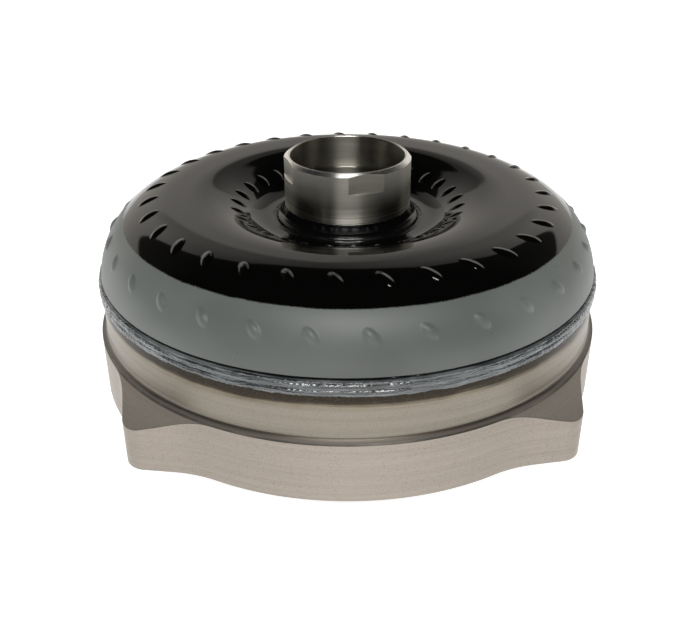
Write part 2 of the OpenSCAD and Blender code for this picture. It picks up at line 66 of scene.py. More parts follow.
class Graph:
    """Small helper that adds nodes to a material and wires them."""

    def __init__(self, name):
        self.material = bpy.data.materials.new(name)
        self.material.use_nodes = True
        self.tree = self.material.node_tree
        self.shader = self.tree.nodes["Principled BSDF"]
        coords = self.tree.nodes.new("ShaderNodeTexCoord")
        self.position = coords.outputs["Object"]
        split = self.tree.nodes.new("ShaderNodeSeparateXYZ")
        self.link(self.position, split.inputs[0])
        self.x, self.y, self.z = split.outputs
        self.r = self.math("SQRT", self.math("ADD", self.math("MULTIPLY", self.x, self.x),
                                             self.math("MULTIPLY", self.y, self.y)))

    def link(self, output, socket):
        self.tree.links.new(output, socket)

    def feed(self, socket, value):
        if isinstance(value, (int, float)):
            socket.default_value = value
        elif isinstance(value, tuple):
            needs_alpha = len(value) == 3 and len(socket.default_value) == 4
            socket.default_value = (*value, 1.0) if needs_alpha else value
        else:
            self.link(value, socket)

    def math(self, operation, a, b=0.0):
        node = self.tree.nodes.new("ShaderNodeMath")
        node.operation = operation
        self.feed(node.inputs[0], a)
        self.feed(node.inputs[1], b)
        return node.outputs[0]

    def vector(self, x, y, z):
        node = self.tree.nodes.new("ShaderNodeCombineXYZ")
        for socket, value in zip(node.inputs, (x, y, z)):
            self.feed(socket, value)
        return node.outputs[0]

    def scaled(self, x, y, z):
        """The position with each axis multiplied: a small factor stretches the pattern along that axis."""
        return self.vector(self.math("MULTIPLY", self.x, x), self.math("MULTIPLY", self.y, y),
                           self.math("MULTIPLY", self.z, z))

    def noise(self, vector, scale=1.0, detail=2.0, roughness=0.5):
        node = self.tree.nodes.new("ShaderNodeTexNoise")
        self.link(vector, node.inputs["Vector"])
        node.inputs["Scale"].default_value = scale
        node.inputs["Detail"].default_value = detail
        node.inputs["Roughness"].default_value = roughness
        return node.outputs["Fac"]

    def wobble(self, value, noise, size):
        """The value, moved up and down by a noise whose full height is size."""
        return self.math("ADD", value, self.math("MULTIPLY", self.math("SUBTRACT", noise, 0.5), size))

    def both(self, a, b):
        """The product of two masks."""
        return self.math("MULTIPLY", a, b)

    def span(self, value, low, high, to_low=0.0, to_high=1.0):
        """A smooth step from to_low to to_high, as the value goes from low to high."""
        node = self.tree.nodes.new("ShaderNodeMapRange")
        node.interpolation_type = "SMOOTHSTEP"
        for name, v in (("Value", value), ("From Min", low), ("From Max", high),
                        ("To Min", to_low), ("To Max", to_high)):
            self.feed(node.inputs[name], v)
        return node.outputs[0]

    def mix(self, factor, a, b):
        node = self.tree.nodes.new("ShaderNodeMix")
        node.data_type = "RGBA"
        self.feed(node.inputs[0], factor)
        self.feed(node.inputs[6], a)
        self.feed(node.inputs[7], b)
        return node.outputs[2]

    def blend(self, factor, a, b):
        """a where factor is 0, b where it is 1."""
        node = self.tree.nodes.new("ShaderNodeMix")
        self.feed(node.inputs[0], factor)
        self.feed(node.inputs[2], a)
        self.feed(node.inputs[3], b)
        return node.outputs[0]

    def normal_z(self):
        """How far the surface faces up: 1 on level faces, 0 on upright ones."""
        geometry = self.tree.nodes.new("ShaderNodeNewGeometry")
        split = self.tree.nodes.new("ShaderNodeSeparateXYZ")
        self.link(geometry.outputs["Normal"], split.inputs[0])
        return split.outputs[2]

    def brush_round(self, strength):
        """Stretches the reflections, as tool marks that run round the axis do."""
        tangent = self.tree.nodes.new("ShaderNodeTangent")
        tangent.direction_type = "RADIAL"
        tangent.axis = "Z"
        self.link(tangent.outputs[0], self.shader.inputs["Tangent"])
        self.set(anisotropic=strength, anisotropic_rotation=0.25)

    def bump(self, height, strength, distance):
        node = self.tree.nodes.new("ShaderNodeBump")
        node.inputs["Strength"].default_value = strength
        node.inputs["Distance"].default_value = distance
        self.feed(node.inputs["Height"], height)
        self.link(node.outputs[0], self.shader.inputs["Normal"])

    def set(self, **values):
        for name, value in values.items():
            self.feed(self.shader.inputs[name.replace("_", " ").title().replace("Ior", "IOR")], value)


BLACK = (0.0012, 0.0012, 0.0011)
GREY = (0.073, 0.081, 0.074)
GREY_PALE = (0.094, 0.103, 0.095)
# The grey starts below this height, and its edge is this soft each way
PAINT_EDGE_Z = 84.6 * MM
PAINT_EDGE_SOFT = 0.25 * MM
CROWN_MIDDLE_R = 80 * MM


def shell_paint():
    """Gloss black on the crown, grey from the shoulder down, with a slightly speckled edge between."""
    g = Graph("shell_paint")
    drift = g.noise(g.scaled(60, 60, 60), 1, 2)
    speckle = g.noise(g.scaled(1800, 1800, 1800), 1, 2, 0.7)
    edge = g.wobble(g.wobble(g.z, drift, 0.6 * MM), speckle, 0.9 * MM)
    low = g.span(edge, PAINT_EDGE_Z - PAINT_EDGE_SOFT, PAINT_EDGE_Z + PAINT_EDGE_SOFT, 1, 0)
    grey = g.both(low, g.math("GREATER_THAN", g.r, CROWN_MIDDLE_R))
    clouds = g.noise(g.scaled(26, 26, 60), 1, 1.5, 0.4)
    tone = g.mix(g.span(clouds, 0.2, 0.8), GREY, GREY_PALE)
    fleck = g.noise(g.scaled(420, 420, 420), 1, 1)
    tone = g.mix(g.span(fleck, 0.78, 0.83), tone, (0.03, 0.033, 0.031))
    g.set(base_color=g.mix(grey, BLACK, tone), roughness=g.blend(grey, 0.06, 0.47), ior=1.5)
    peel = g.noise(g.scaled(260, 260, 260), 1, 2)
    g.bump(g.math("MULTIPLY", peel, g.blend(grey, 0.08, 1.0)), 0.25, 0.00012)
    return g.material


def weld_paint():
    """Glossy grey paint over a weld bead, with dark fine speckle and thin dark streaks; darker brown at its
    foot, heat colour with painted shade where it meets the cover; the groove above is painted near black as
    painted shade.
    """
    g = Graph("weld_paint")
    grain = g.noise(g.scaled(900, 900, 1500), 1, 3, 0.65)
    wide = g.noise(g.scaled(60, 60, 420), 1, 2)
    tone = g.mix(g.span(wide, 0.3, 0.7), (0.036, 0.041, 0.044), (0.118, 0.130, 0.132))
    threads = g.noise(g.scaled(45, 45, 1900), 1, 2, 0.6)
    tone = g.mix(g.span(threads, 0.52, 0.66), tone, (0.012, 0.014, 0.015))
    tone = g.mix(g.span(grain, 0.60, 0.76), tone, (0.008, 0.009, 0.009))
    # partly painted shade: the bead's foot is darkened brown, heat colour with painted shade in the crease
    # where it meets the cover
    foot = g.span(g.wobble(g.z, wide, 3 * MM), 50.9 * MM, 52.2 * MM, 1, 0)
    tone = g.mix(foot, tone, (0.028, 0.024, 0.020))
    # painted shade: the groove between the shell's paint and the bead is painted near black
    groove = g.span(g.r, 124.2 * MM, 124.9 * MM, 1, 0)
    tone = g.mix(groove, tone, (0.003, 0.003, 0.003))
    g.set(base_color=tone, roughness=g.span(grain, 0.3, 0.7, 0.07, 0.18), metallic=0.1, ior=1.8)
    g.bump(g.math("ADD", grain, g.math("MULTIPLY", threads, 0.8)), 0.3, 0.00025)
    return g.material


def gloss_black():
    """Gloss black paint round the hub's foot."""
    g = Graph("hub_weld_paint")
    clouds = g.noise(g.scaled(90, 90, 90))
    g.set(base_color=g.mix(clouds, (0.001, 0.001, 0.001), (0.002, 0.002, 0.002)), roughness=0.15)
    g.bump(g.noise(g.scaled(200, 200, 200), 1, 1), 0.03, 0.00008)
    return g.material


# Radii and heights that part the cover's faces: the flange's lip ends at the wall
LIP_START_R, LIP_FULL_R, LIP_END_R = 126.9 * MM, 127.5 * MM, 128.3 * MM
BAND_LIMIT_R, WALL_LIMIT_R, FILLET_LIMIT_R = 127.0 * MM, 127.2 * MM, 127.2 * MM
COVE_FLOOR_Z = 19 * MM
# The heat tint rises to full strength between these heights
STRAW_FROM_Z, STRAW_FULL_Z = 43.5 * MM, 47.5 * MM
BROWN_FROM_Z, BROWN_FULL_Z = 45.7 * MM, 48.7 * MM


def cover_steel():
    """Turned and milled steel with fine lines, and a heat tint under the weld; the fillet below the band and
    the flange's lip are darkened as painted shade lines.
    """
    g = Graph("cover_steel")
    facing = g.normal_z()
    upright = g.math("LESS_THAN", g.math("ABSOLUTE", facing), 0.35)
    sloping = g.math("SUBTRACT", 1.0, upright)
    along = g.blend(upright, g.r, g.z)
    lines = g.noise(g.vector(g.both(g.x, 9), g.both(g.y, 9), g.both(along, 2600)), 1, 3, 0.6)
    wide = g.noise(g.vector(g.both(g.x, 7), g.both(g.y, 7), g.both(along, 330)), 1, 3, 0.6)
    cloud = g.noise(g.scaled(34, 34, 60), 1, 3, 0.6)
    grain = g.noise(g.scaled(1500, 1500, 1500), 1, 1)

    wall = g.both(upright, g.math("GREATER_THAN", g.r, WALL_LIMIT_R))
    band = g.both(upright, g.math("LESS_THAN", g.r, BAND_LIMIT_R))
    fillet = g.both(sloping, g.math("LESS_THAN", g.r, FILLET_LIMIT_R))
    above_floor = g.math("GREATER_THAN", g.z, COVE_FLOOR_Z)
    cove = g.both(g.span(facing, 0.62, 0.86), above_floor)
    lip = g.both(g.span(g.r, LIP_START_R, LIP_FULL_R), g.math("LESS_THAN", g.r, LIP_END_R))
    lip = g.both(lip, g.both(sloping, above_floor))

    tone = g.mix(wide, (0.232, 0.207, 0.170), (0.326, 0.293, 0.246))
    wall_tone = g.mix(wide, (0.335, 0.295, 0.256), (0.440, 0.390, 0.343))
    tone = g.mix(g.both(wall, 0.85), tone, wall_tone)
    tone = g.mix(g.both(cove, 0.85), tone, (0.270, 0.240, 0.205))
    # painted shade: the fillet from the band to the cove is darkened to a dark line, which also damps its
    # highlight
    tone = g.mix(g.both(fillet, 0.75), tone, (0.100, 0.088, 0.074))
    # painted shade: the lip at the flange's edge is darkened to a broken dark line
    tone = g.mix(g.both(lip, g.span(cloud, 0.35, 0.6, 0.5, 1.0)), tone, (0.085, 0.078, 0.070))

    tint = g.wobble(g.wobble(g.z, cloud, 4 * MM), lines, 5 * MM)
    straw = g.both(g.span(tint, STRAW_FROM_Z, STRAW_FULL_Z), band)
    tone = g.mix(g.both(straw, 0.65), tone, (0.19, 0.160, 0.105))
    brown = g.both(g.span(tint, BROWN_FROM_Z, BROWN_FULL_Z), band)
    tone = g.mix(g.both(brown, 0.9), tone, (0.016, 0.012, 0.009))
    tone = g.mix(g.span(grain, 0.5, 0.75, 0, 0.28), tone, (0.12, 0.11, 0.10))
    tone = g.mix(g.span(lines, 0.52, 0.72, 0, 0.22), tone, (0.14, 0.125, 0.11))

    finish = g.math("ADD", g.blend(wall, 0.40, 0.46), g.both(cove, 0.22))
    g.set(base_color=tone, metallic=g.math("SUBTRACT", 1.0, g.both(cove, 0.45)),
          roughness=g.wobble(finish, lines, 0.25))
    g.brush_round(0.7)
    relief = g.math("ADD", g.both(lines, 0.7), g.both(grain, g.blend(wall, 0.1, 0.5)))
    g.bump(relief, 0.35, 0.00006)
    return g.material


def turned_steel(name, dark, light, roughness, line_density=2400, anisotropy=0.0, hub=False):
    """Steel with fine lines round the shaft axis. The hub also has painted highlights: a bright streaky
    lower part and bright upward-facing edges.
    """
    g = Graph(name)
    along = g.math("ADD", g.z, g.r)
    lines = g.noise(g.vector(g.both(g.x, 14), g.both(g.y, 14), g.both(along, line_density)), 1, 3, 0.6)
    wide = g.noise(g.vector(g.both(g.x, 30), g.both(g.y, 30), g.both(along, 240)), 1, 2, 0.5)
    tone = g.mix(g.math("ADD", g.both(lines, 0.5), g.both(wide, 0.5)), dark, light)
    if hub:
        # painted highlight: the hub's lower part is painted bright, in streaks along the lines, standing in
        # for reflected light
        foot = g.both(g.span(g.z, 86 * MM, 97 * MM, 1, 0), g.span(lines, 0.3, 0.6))
        tone = g.mix(foot, tone, (0.92, 0.89, 0.80))
        # painted highlight: faces that tilt upward are painted near white
        painted_highlight_tops = g.both(g.span(g.normal_z(), 0.25, 0.7), g.math("GREATER_THAN", g.r, 28.4 * MM))
        tone = g.mix(painted_highlight_tops, tone, (0.93, 0.91, 0.86))
    g.set(base_color=tone, metallic=1.0, roughness=g.wobble(roughness, lines, 0.15))
    if anisotropy:
        g.brush_round(anisotropy)
    g.bump(lines, 0.25, 0.00004)
    return g.material


def plain_metal(name, dark, light, roughness, metallic=1.0, grain=500):
    """Pressed, cast or drawn metal with a fine grain. Paper and seals use it with metallic 0."""
    g = Graph(name)
    cloud = g.noise(g.scaled(40, 40, 40), 1, 3, 0.6)
    fine = g.noise(g.scaled(grain, grain, grain), 1, 3, 0.6)
    pattern = g.math("ADD", g.both(cloud, 0.6), g.both(fine, 0.4))
    g.set(base_color=g.mix(pattern, dark, light), metallic=metallic,
          roughness=g.wobble(roughness, fine, 0.2))
    g.bump(fine, 0.3, 0.00008)
    return g.material


LOOKS = {
    "shell_paint": shell_paint(),
    "weld_paint": weld_paint(),
    "gloss_black": gloss_black(),
    "cover_steel": cover_steel(),
    "hub_steel": turned_steel("hub_steel", (0.24, 0.23, 0.20), (0.46, 0.445, 0.39), 0.34, 2400, 0.94, True),
    "forged_steel": turned_steel("forged_steel", (0.42, 0.41, 0.40), (0.56, 0.55, 0.54), 0.32),
    "bearing_steel": turned_steel("bearing_steel", (0.62, 0.62, 0.63), (0.74, 0.74, 0.75), 0.16, 1500),
    "sheet_steel": plain_metal("sheet_steel", (0.40, 0.39, 0.37), (0.54, 0.53, 0.50), 0.38),
    "spring_steel": plain_metal("spring_steel", (0.16, 0.16, 0.19), (0.26, 0.26, 0.30), 0.30),
    "cage_brass": plain_metal("cage_brass", (0.50, 0.36, 0.14), (0.66, 0.50, 0.22), 0.30),
    "cast_alloy": plain_metal("cast_alloy", (0.58, 0.59, 0.60), (0.72, 0.73, 0.74), 0.45, grain=900),
    "friction_paper": plain_metal("friction_paper", (0.16, 0.11, 0.07), (0.26, 0.18, 0.12), 0.9, 0.0),
    "seal_polymer": plain_metal("seal_polymer", (0.02, 0.02, 0.02), (0.04, 0.04, 0.04), 0.5, 0.0),
}
SLOT_LOOK = {
    "machined_cover": "cover_steel", "black_paint": "shell_paint", "grey_paint": "weld_paint",
    "hub_steel": "hub_steel", "sheet_steel": "sheet_steel", "forged_steel": "forged_steel",
    "bearing_steel": "bearing_steel", "spring_steel": "spring_steel", "cage_brass": "cage_brass",
    "cast_alloy": "cast_alloy", "friction_paper": "friction_paper", "seal_polymer": "seal_polymer",
}
for subpart in frame["record"]["subparts"]:
    node = frame["nodes"][subpart["node"]]
    node.data.materials.clear()
    node.data.materials.append(LOOKS[SLOT_LOOK[subpart["material_slot"]]])

# ------------------------------------------------------------------ meshes


def add_piece(name, points, faces, look, body, stands_for, sharp_angle):
    """Makes a smooth-shaded mesh from points in millimetres that rides on a body and replaces a node."""
    mesh = bpy.data.meshes.new(name)
    mesh.from_pydata([tuple(p) for p in np.asarray(points) * MM], [], faces)
    mesh.materials.append(LOOKS[look])
    mesh.polygons.foreach_set("use_smooth", [True] * len(mesh.polygons))
    mesh.set_sharp_from_angle(angle=math.radians(sharp_angle))
    piece = bpy.data.objects.new(name, mesh)
    SCENE.collection.objects.link(piece)
    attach(piece, body)
    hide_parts(stands_for)
    return piece


def ring_faces(rows, columns, closed_rows=True):
    """Quads over a grid of rows round the axis. closed_rows joins the last row to the first."""
    faces = []
    for i in range(rows if closed_rows else rows - 1):
        a, b = i * columns, (i + 1) % rows * columns
        for j in range(columns):
            k = (j + 1) % columns
            faces.append((a + j, a + k, b + k, b + j))
    return faces


def arc(cx, cy, r, a0, a1, n):
    """n + 1 points on an arc from angle a0 to a1, in degrees."""
    angles = np.radians(np.linspace(a0, a1, n + 1))
    return np.stack([cx + r * np.cos(angles), cy + r * np.sin(angles)], 1)


def smooth(t):
    """A smooth step from 0 to 1."""
    t = np.clip(t, 0, 1)
    return t * t * (3 - 2 * t)


def ring(r, z, turns):
    """One ring of points at a radius and a height, which may be a number or a value for each turn."""
    return np.stack([r * np.sin(turns), -r * np.cos(turns), z + 0 * turns], 1)


# Impeller shell: the section is the CAD's, and the dimples are drawn out along the blades
CROWN_R, CROWN_Z, CROWN_ROUND = 88.3, 56.3, 36.7
DISH_R, DISH_Z, DISH_ROUND = 80.0, 44.0, 49.0
SHELL_WALL = 3.2
# The flat crown eases into the outer round between these radii
EASE_START_R, EASE_END_R, EASE_POWER = 83.0, 96.0, 3.41
# radius and height of the shell's inner edge, where the hub is welded in
SHELL_LIP = ((38.1, 80.2), (39.3, 80.2), (40.5, 80.22), (42, 80.32), (43.5, 80.5), (45.2, 80.85))
BLADES = 31
PITCH = 360 / BLADES
# Columns of points in each pitch, and how much they crowd towards its dimple
COLUMNS_PER_PITCH, CROWDING = 34, 0.62
DIMPLE_SHAPE = 1.1
# The dimples' middles lie on the upper part of the section, above this height
ROWS_ABOVE_Z = 70
# radius, turn from the front, half length, half width, height of the dimples in each row
ROWS = ((55.2, 0.9, 4.6, 2.4, 1.0), (99.1, 7.0, 5.3, 2.9, 1.0), (119.1, 14.3, 3.9, 3.1, 1.15))


def blade_turn(r):
    """Turn of the blade line from the front, in degrees, at a radius."""
    (a, ta), (b, tb), (c, tc) = [row[:2] for row in ROWS]
    return (ta * (r - b) * (r - c) / ((a - b) * (a - c)) + tb * (r - a) * (r - c) / ((b - a) * (b - c))
            + tc * (r - a) * (r - b) / ((c - a) * (c - b)))


def shell_outside():
    """The outer line of the section, from the hub to the weld: lip, dish, eased crown, outer round."""
    dish = arc(DISH_R, DISH_Z, DISH_ROUND, 129.25, 90, 76)
    crown = arc(CROWN_R, CROWN_Z, CROWN_ROUND, 90, 6.41, 140)
    crown = crown[crown[:, 0] > EASE_END_R]
    r = np.linspace(EASE_START_R, EASE_END_R, 26)
    fall = CROWN_ROUND - math.sqrt(CROWN_ROUND**2 - (EASE_END_R - CROWN_R)**2)
    share = (r - EASE_START_R) / (EASE_END_R - EASE_START_R)
    ease = np.column_stack([r, DISH_Z + DISH_ROUND - fall * share ** EASE_POWER])
    return np.concatenate([SHELL_LIP, dish, ease, crown, [[124.6, 60.3], [123.4, 60.0]]])


def make_shell():
    """The shell turned round the axis, its columns leaning with the blades so that dimples stay smooth."""
    outside = shell_outside()
    step = np.diff(outside, axis=0)
    tangent = np.zeros_like(outside)
    tangent[1:-1] = outside[2:] - outside[:-2]
    tangent[0], tangent[-1] = step[0], step[-1]
    tangent /= np.linalg.norm(tangent, axis=1)[:, None]
    normal = np.stack([-tangent[:, 1], tangent[:, 0]], 1)
    length = np.concatenate([[0], np.cumsum(np.linalg.norm(step, axis=1))])
    t = np.arange(COLUMNS_PER_PITCH) / COLUMNS_PER_PITCH - 0.5
    local = PITCH * (t - CROWDING * np.sin(2 * np.pi * t) / (2 * np.pi))
    turns = (np.arange(BLADES)[:, None] * PITCH + local[None, :]).ravel()
    offset = np.tile(local, BLADES)
    points = []
    for i, (r, z) in enumerate(outside):
        height = np.zeros(len(turns))
        for row_r, _, half_length, half_width, high in ROWS:
            nearest = np.argmin(abs(outside[:, 0] - row_r) + (outside[:, 1] < ROWS_ABOVE_Z) * 1e3)
            u = (length[i] - length[nearest]) / half_length
            v = np.radians(offset) * r / half_width
            height += high * np.clip(1.0 - u * u - v * v, 0, 1) ** DIMPLE_SHAPE
        azimuth = np.radians(turns + blade_turn(r))
        rr = r + normal[i, 0] * height
        zz = z + normal[i, 1] * height
        points.append(ring(rr, zz, azimuth))
    inside = np.concatenate([[[123.4, 54.5], [120.2, 54.5]],
                             arc(CROWN_R, CROWN_Z, CROWN_ROUND - SHELL_WALL, 17.7, 90, 18),
                             arc(DISH_R, DISH_Z, DISH_ROUND - SHELL_WALL, 90, 128.75, 12),
                             [[48, 78.3], [43.5, 77.3], [38.1, 77.0]]])
    for r, z in inside:
        azimuth = np.radians(turns + blade_turn(max(r, 50)))
        points.append(ring(r, z, azimuth))
    rows = len(outside) + len(inside)
    faces = [f[::-1] for f in ring_faces(rows, len(turns))]
    return add_piece("shell_skin", np.concatenate(points), faces, "shell_paint", "housing",
                     "impeller_shell", 62)


def waves(turns, rng, count, low, high):
    """A wave of unit size round the ring, made of whole numbers of turns so that it closes."""
    total = np.zeros_like(turns)
    for _ in range(count):
        total = total + np.sin(rng.integers(low, high) * turns + rng.uniform(0, 2 * np.pi))
    return total / math.sqrt(count / 2)


WELD_COLUMNS, WELD_ROWS = 1260, 74
WELD_TOP_Z, WELD_FOOT_Z, WELD_BOTTOM_Z = 61.0, 51.15, 50.6
# middle height, half height and rise of each pass
WELD_PASSES = ((58.6, 0.95, 1.15), (56.3, 1.65, 1.80), (53.2, 1.75, 1.60))
# The bead stands on the shell's edge above, and on the cover below
WELD_SEAT_R, WELD_STEP, WELD_STEP_Z, WELD_FOOT_R = 123.5, 1.6, 59.35, 124.9
WELD_LIMIT_R = 126.58
RIDGE_PITCH, RIDGE_HEIGHT = 0.95, 0.07
# Turn from the front where the weld restarts, and how far the flattened stretch reaches from there
WELD_RESTART, RESTART_FULL, RESTART_FADE = 9.2, 14, 14


def make_closure_weld():
    """Three overlapping rippled passes with fine ridges, lower for a stretch after the restart."""
    rng = np.random.default_rng(5)
    turns = np.linspace(0, 2 * np.pi, WELD_COLUMNS, endpoint=False)
    from_restart = (np.degrees(turns) - WELD_RESTART) % 360
    tail = smooth(from_restart / 1.2) * (1 - smooth((from_restart - RESTART_FULL) / RESTART_FADE))
    heights = np.linspace(WELD_TOP_Z, WELD_BOTTOM_Z, WELD_ROWS)
    lay = 0.35 * waves(turns, rng, 5, 5, 40)
    ripple = [0.085 * waves(turns, rng, 9, 210, 380) + 0.06 * waves(turns, rng, 6, 60, 160)
              for _ in WELD_PASSES]
    drift = [0.16 * waves(turns, rng, 5, 3, 30) + 0.10 * waves(turns, rng, 4, 40, 90)
             for _ in WELD_PASSES]
    foot = WELD_FOOT_Z + 0.22 * waves(turns, rng, 6, 12, 70) + 0.14 * waves(turns, rng, 6, 90, 200)
    points = []
    for z in heights:
        base = WELD_SEAT_R + WELD_STEP * smooth((WELD_STEP_Z - z) / 0.8)
        out = np.zeros(WELD_COLUMNS)
        for n, (middle, half, high) in enumerate(WELD_PASSES):
            d = abs(z - middle - drift[n] * 0.5) / half
            bead = np.sqrt(np.clip(1 - d * d, 0, 1)) * high * (0.86 + ripple[n])
            out = np.maximum(out, bead * (1 - 0.45 * tail))
        out = out + RIDGE_HEIGHT * np.sin(2 * np.pi * (z / RIDGE_PITCH + lay)) * (out > 0.5)
        hump = smooth((z - foot) / 0.9)
        rr = np.minimum(base + out * 0.82 + 0.35 * tail * hump, WELD_LIMIT_R)
        rr = rr * hump + WELD_FOOT_R * (1 - hump)
        points.append(ring(rr, z, turns))
    for r, z in ((123.6, 50.7), (WELD_SEAT_R, 55.0), (123.45, WELD_TOP_Z)):
        points.append(ring(r, z, turns))
    faces = [f[::-1] for f in ring_faces(WELD_ROWS + 3, WELD_COLUMNS)]
    return add_piece("closure_bead", np.concatenate(points), faces, "weld_paint", "housing",
                     "closure_weld", 60)


# The paint's fillet ends at this radius, and the rough weld starts
HUB_WELD_START_R = 35.3


def make_hub_weld():
    """Paint over the hub's foot, and the small rough weld in the groove outside it."""
    rng = np.random.default_rng(11)
    columns = 540
    turns = np.linspace(0, 2 * np.pi, columns, endpoint=False)
    fillet = arc(36.5, 86.5, 4.95, 180, 254, 14)
    top = np.concatenate([[[31.52, 87.0], [31.56, 86.8]], fillet, [[35.5, 81.2], [35.8, 80.3]],
                          [[36.2, 79.95], [36.6, 79.85], [37.0, 79.85], [37.4, 79.9], [37.8, 80.0],
                           [38.08, 80.1]]])
    rough = [waves(turns, rng, 6, 20, 90) for _ in top]
    lip = 0.02 * waves(turns, rng, 5, 8, 60)
    points = []
    for i, (r, z) in enumerate(top):
        weld = smooth((r - HUB_WELD_START_R) / 0.5)
        points.append(ring(r, z + 0.03 * weld * rough[i] + (lip if i == 0 else 0), turns))
    for r, z in ((38.0, 79.0), (35.3, 78.0), (34.0, 80.9), (31.45, 86.0)):
        points.append(ring(r, z, turns))
    faces = [f[::-1] for f in ring_faces(len(top) + 4, columns)]
    return add_piece("hub_weld_skin", np.concatenate(points), faces, "gloss_black", "housing",
                     "impeller_hub_weld", 50)


# Front cover: the CAD's outline, with a smooth cove and small bevels
FLANGE_R, BAND_R = 128.1, 125.3
LOBE_TIP_R, LOBE_ROUND, LOBE_SLOPE, LOBE_BLEND = 142.4, 10.5, 36.5, 60.0
BOLTS = next(m["dims"] for m in frame["record"]["mounts"] if m["name"] == "flexplate_bolts")
BOLT_CIRCLE_R, BOLT_R, BOLT_DEPTH = BOLTS["pcd_mm"] / 2, BOLTS["hole_r_mm"], 16.0
LOBES = BOLTS["count"]
BEVEL = 0.35
# radius and height of the curve that falls from the band to the lobes' tops
COVE = ((125.3, 32.4), (125.55, 31.5), (126.3, 30.5), (127.3, 29.75), (128.6, 28.8),
        (130.8, 27.2), (134.4, 25.0), (138.6, 23.0), (142.6, 21.4))
# radius and height of the turned faces: inside and up to the band, and under the cover
COVER_TURNED = ((0.01, 16), (36.5, 16), (36.5, 14), (115.5, 14), (119.5, 18), (119.5, 54.5),
                (124.9, 54.5), (125.3, 54.1), (125.3, 48), (125.3, 42), (125.3, 37), (125.3, 33.2))
COVER_UNDER = ((112.4, 0), (112, 0.4), (112, 3), (34, 3), (34, 0.4), (33.6, 0), (15, 0), (15, 8), (0.01, 8))


def lobe_angles():
    return [math.radians(45 + 360 / LOBES * i) for i in range(LOBES)]


def lobe_outline():
    """One lobe about +X, round at its tip, with a blend into the flange each side and the arc after it."""
    centre = LOBE_TIP_R - LOBE_ROUND
    line = centre * math.cos(math.radians(LOBE_SLOPE)) + LOBE_ROUND
    blend_at = FLANGE_R + LOBE_BLEND
    angle = LOBE_SLOPE - math.degrees(math.acos((line + LOBE_BLEND) / blend_at))
    bx, by = blend_at * math.cos(math.radians(angle)), blend_at * math.sin(math.radians(angle))
    between = (np.arange(10)[:, None] + 1) / 11
    first = arc(bx, -by, LOBE_BLEND, 180 - angle, 180 - LOBE_SLOPE, 16)
    tip = arc(centre, 0, LOBE_ROUND, -LOBE_SLOPE, LOBE_SLOPE, 26)
    last = arc(bx, by, LOBE_BLEND, 180 + LOBE_SLOPE, 180 + angle, 16)
    rising = first[-1] + (tip[0] - first[-1]) * between
    falling = tip[-1] + (last[0] - tip[-1]) * between
    rest = arc(0, 0, FLANGE_R, angle, 90 - angle, 56)[1:-1]
    return np.concatenate([first, rising, tip, falling, last, rest])


def make_cover():
    """The cover as rows of points round the axis: turned inside, band, cove, lobes' edge, underside."""
    quarter = lobe_outline()
    outline = []
    for a in lobe_angles():
        outline.append(quarter @ np.array([[math.cos(a), math.sin(a)], [-math.sin(a), math.cos(a)]]))
    outline = np.concatenate(outline)
    radius = np.linalg.norm(outline, axis=1)
    unit = outline / radius[:, None]
    ahead = np.roll(outline, -1, 0) - np.roll(outline, 1, 0)
    outward = np.stack([ahead[:, 1], -ahead[:, 0]], 1) / np.linalg.norm(ahead, axis=1)[:, None]
    cove_r, cove_z = np.array(COVE).T
    fine_r = np.linspace(cove_r[0], cove_r[-1], 400)
    fine_z = spline(cove_r, cove_z, fine_r)
    columns = len(outline)
    rows = []

    def height(r):
        return np.interp(r, fine_r, fine_z)

    def circle(r, z):
        rows.append(np.column_stack([unit * r, np.full(columns, z)]))

    def inset(by, z):
        rows.append(np.column_stack([outline - outward * by, np.broadcast_to(z, columns)]))

    for r, z in COVER_TURNED:
        circle(r, z)
    steps = np.concatenate([np.linspace(0, 0.35, 9)[:-1], np.linspace(0.35, 1, 14)])
    for s in steps:
        r = BAND_R + (radius - BEVEL * 1.3 - BAND_R) * s
        rows.append(np.column_stack([unit * r[:, None], height(r)]))
    edge = height(radius - BEVEL)
    inset(BEVEL * 0.4, edge - BEVEL * 0.25)
    inset(0, edge - BEVEL * 0.9)
    for s in (0.75, 0.5, 0.25):
        inset(0, edge * s)
    inset(0, BEVEL)
    inset(BEVEL * 0.35, BEVEL * 0.35)
    inset(BEVEL, 0)
    for r, z in COVER_UNDER:
        circle(r, z)
    faces = ring_faces(len(rows), columns, closed_rows=False)
    faces.append(tuple(range(columns)))
    last = (len(rows) - 1) * columns
    faces.append(tuple(range(last + columns - 1, last - 1, -1)))
    piece = add_piece("cover_skin", np.concatenate(rows), faces, "cover_steel", "housing",
                      "front_cover", 30)
    return drill(piece)


def spline(xs, ys, at):
    """A smooth curve through a few points, with no overshoot (monotone cubic)."""
    slope = np.diff(ys) / np.diff(xs)
    m = np.concatenate([[slope[0]], (slope[1:] + slope[:-1]) / 2, [slope[-1]]])
    k = np.clip(np.searchsorted(xs, at) - 1, 0, len(xs) - 2)
    h = xs[k + 1] - xs[k]
    t = (at - xs[k]) / h
    return ((2 * t**3 - 3 * t**2 + 1) * ys[k] + (t**3 - 2 * t**2 + t) * h * m[k]
            + (3 * t**2 - 2 * t**3) * ys[k + 1] + (t**3 - t**2) * h * m[k + 1])


